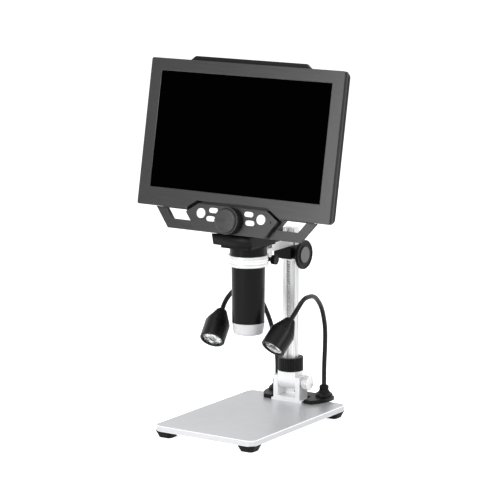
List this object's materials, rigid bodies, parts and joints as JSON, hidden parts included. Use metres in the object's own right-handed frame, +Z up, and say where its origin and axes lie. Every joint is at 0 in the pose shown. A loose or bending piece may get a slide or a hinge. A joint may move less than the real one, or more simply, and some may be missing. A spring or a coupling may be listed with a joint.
{
  "type": "lcd digital microscope",
  "caption": "Digital microscope with a tilted display on a rack-driven column, a hinged metal base plate and gooseneck lamps that aim at the specimen.",
  "frame": {"origin": "on the table, under the middle of the footprint", "axes": "+Z up, +X to the right of the user, +Y to the back, the screen faces -Y"},
  "size_m": [0.224, 0.185, 0.367],
  "materials": {
    "plate_aluminium": "fine matt anodised aluminium with bright bevelled edges",
    "bright_aluminium": "bright satin aluminium",
    "bright_steel": "bright zinc plated steel",
    "knurled_silver": "bright plated metal with fine ribs",
    "black_rubber": "matt black rubber",
    "satin_black_metal": "satin black anodised metal",
    "gloss_black": "glossy black",
    "black_plastic": "matt black moulded plastic",
    "grey_black_plastic": "dark grey fine-grained moulded plastic",
    "cap_grey": "grey matt plastic",
    "white_plastic": "white semi-gloss plastic",
    "diffuser_white": "translucent frosted white plastic",
    "clear_glass": "clear glass",
    "screen_black": "glossy black display glass",
    "circuit_green": "green circuit board",
    "battery_blue": "soft foil battery cell",
    "neck_black": "smooth black sleeve over a gooseneck"
  },
  "bodies": {
    "stand": {"base_plate": "plate_aluminium", "base_feet": "black_rubber", "foot_screws": "bright_steel", "hinge_bracket": "bright_aluminium", "bracket_screws": "bright_steel", "lamp_base": "black_plastic", "lamp_base_screws": "bright_steel", "left_strain_relief": "black_rubber", "right_strain_relief": "black_rubber"},
    "clamp": {"tilt_pin": "bright_steel", "tilt_clamp_knob": "knurled_silver"},
    "mast": {"tilt_block": "bright_aluminium", "column": "bright_aluminium", "column_rack": "bright_steel"},
    "collar": {"column_collar": "black_plastic"},
    "slider": {"carriage": "black_plastic", "carriage_liner": "bright_aluminium", "holder_arm": "bright_aluminium", "holder_ring": "bright_aluminium", "arm_screws": "bright_steel"},
    "drive": {"height_knob": "black_plastic", "knob_cap": "cap_grey", "pinion_shaft": "bright_steel"},
    "ring_screw": {"ring_thumb_screw": "black_plastic"},
    "head": {"barrel_tube": "satin_black_metal", "diffuser": "diffuser_white", "led_ring": "circuit_green", "head_housing": "gloss_black", "head_flange": "gloss_black", "sensor_board": "circuit_green", "control_panel": "grey_black_plastic", "button_board": "circuit_green", "wing_frame": "grey_black_plastic", "front_bezel": "grey_black_plastic", "screen_glass": "screen_black", "lcd_panel": "bright_steel", "main_board": "circuit_green", "battery": "battery_blue", "rear_cover": "black_plastic", "case_screws": "bright_steel"},
    "dial": {"focus_dial": "grey_black_plastic", "focus_shaft": "bright_steel", "focus_roller": "black_rubber"},
    "lens": {"lens_sleeve": "satin_black_metal", "objective_lens": "clear_glass"},
    "left_lamp": {"left_lamp_neck": "neck_black", "left_lamp_head": "satin_black_metal", "left_lamp_lens": "clear_glass", "left_lamp_led": "white_plastic"},
    "right_lamp": {"right_lamp_neck": "neck_black", "right_lamp_head": "satin_black_metal", "right_lamp_lens": "clear_glass", "right_lamp_led": "white_plastic"},
    "left_round_button_body": {"left_round_button": "white_plastic"},
    "left_upper_button_body": {"left_upper_button": "white_plastic"},
    "left_lower_button_body": {"left_lower_button": "white_plastic"},
    "right_round_button_body": {"right_round_button": "white_plastic"},
    "right_upper_button_body": {"right_upper_button": "white_plastic"},
    "right_lower_button_body": {"right_lower_button": "white_plastic"}
  },
  "joints": [
    {"name": "column_tilt", "type": "hinge", "parent": "stand", "child": "mast", "pos_m": [0, 0.067, 0.0328], "axis": [1, 0, 0], "range_deg": [-30, 6]},
    {"name": "clamp_knob_turn", "type": "hinge", "parent": "stand", "child": "clamp", "pos_m": [0, 0.067, 0.0328], "axis": [1, 0, 0], "range_deg": [-180, 0]},
    {"name": "collar_turn", "type": "hinge", "parent": "mast", "child": "collar", "pos_m": [0, 0.067, 0.05], "axis": [0, 0, 1], "range_deg": [-120, 0]},
    {"name": "height_slide", "type": "slide", "parent": "mast", "child": "slider", "axis": [0, 0, 1], "range_m": [-0.064, 0.01]},
    {"name": "height_knob_turn", "type": "hinge", "parent": "slider", "child": "drive", "pos_m": [0, 0.0585, 0.1665], "axis": [1, 0, 0], "range_deg": [-122, 768]},
    {"name": "ring_screw_turn", "type": "hinge", "parent": "slider", "child": "ring_screw", "pos_m": [0, 0.014, 0.1677], "axis": [1, 0, 0], "range_deg": [-180, 0]},
    {"name": "head_swivel", "type": "hinge", "parent": "slider", "child": "head", "pos_m": [0, -0.0108, 0.18], "axis": [0, 0, 1], "range_deg": [-60, 60]},
    {"name": "focus_slide", "type": "slide", "parent": "head", "child": "lens", "axis": [0, 0, 1], "range_m": [-0.0039, 0.0039]},
    {"name": "focus_dial_turn", "type": "hinge", "parent": "head", "child": "dial", "pos_m": [0, -0.04201, 0.2133], "axis": [0, -0.9814, 0.1918], "range_deg": [-57.5, 57.5]},
    {"name": "left_lamp_bend", "type": "hinge", "parent": "stand", "child": "left_lamp", "pos_m": [-0.0282, 0.0864, 0.03], "axis": [0, 0, 1], "range_deg": [-40, 1]},
    {"name": "right_lamp_bend", "type": "hinge", "parent": "stand", "child": "right_lamp", "pos_m": [0.0282, 0.0864, 0.03], "axis": [0, 0, 1], "range_deg": [-1, 40]},
    {"name": "left_round_button_press", "type": "slide", "parent": "head", "child": "left_round_button_body", "axis": [0, 0.9814, -0.1918], "range_m": [0, 0.0008], "stiffness_N_per_m": 600, "springref_m": -0.0005},
    {"name": "left_upper_button_press", "type": "slide", "parent": "head", "child": "left_upper_button_body", "axis": [0, 0.9814, -0.1918], "range_m": [0, 0.0008], "stiffness_N_per_m": 600, "springref_m": -0.0005},
    {"name": "left_lower_button_press", "type": "slide", "parent": "head", "child": "left_lower_button_body", "axis": [0, 0.9814, -0.1918], "range_m": [0, 0.0008], "stiffness_N_per_m": 600, "springref_m": -0.0005},
    {"name": "right_round_button_press", "type": "slide", "parent": "head", "child": "right_round_button_body", "axis": [0, 0.9814, -0.1918], "range_m": [0, 0.0008], "stiffness_N_per_m": 600, "springref_m": -0.0005},
    {"name": "right_upper_button_press", "type": "slide", "parent": "head", "child": "right_upper_button_body", "axis": [0, 0.9814, -0.1918], "range_m": [0, 0.0008], "stiffness_N_per_m": 600, "springref_m": -0.0005},
    {"name": "right_lower_button_press", "type": "slide", "parent": "head", "child": "right_lower_button_body", "axis": [0, 0.9814, -0.1918], "range_m": [0, 0.0008], "stiffness_N_per_m": 600, "springref_m": -0.0005}
  ],
  "couplings": [
    {"joint": "height_knob_turn", "follows": "height_slide", "rad_per_m": -208.33},
    {"joint": "focus_dial_turn", "follows": "focus_slide", "rad_per_m": 254.73}
  ]
}
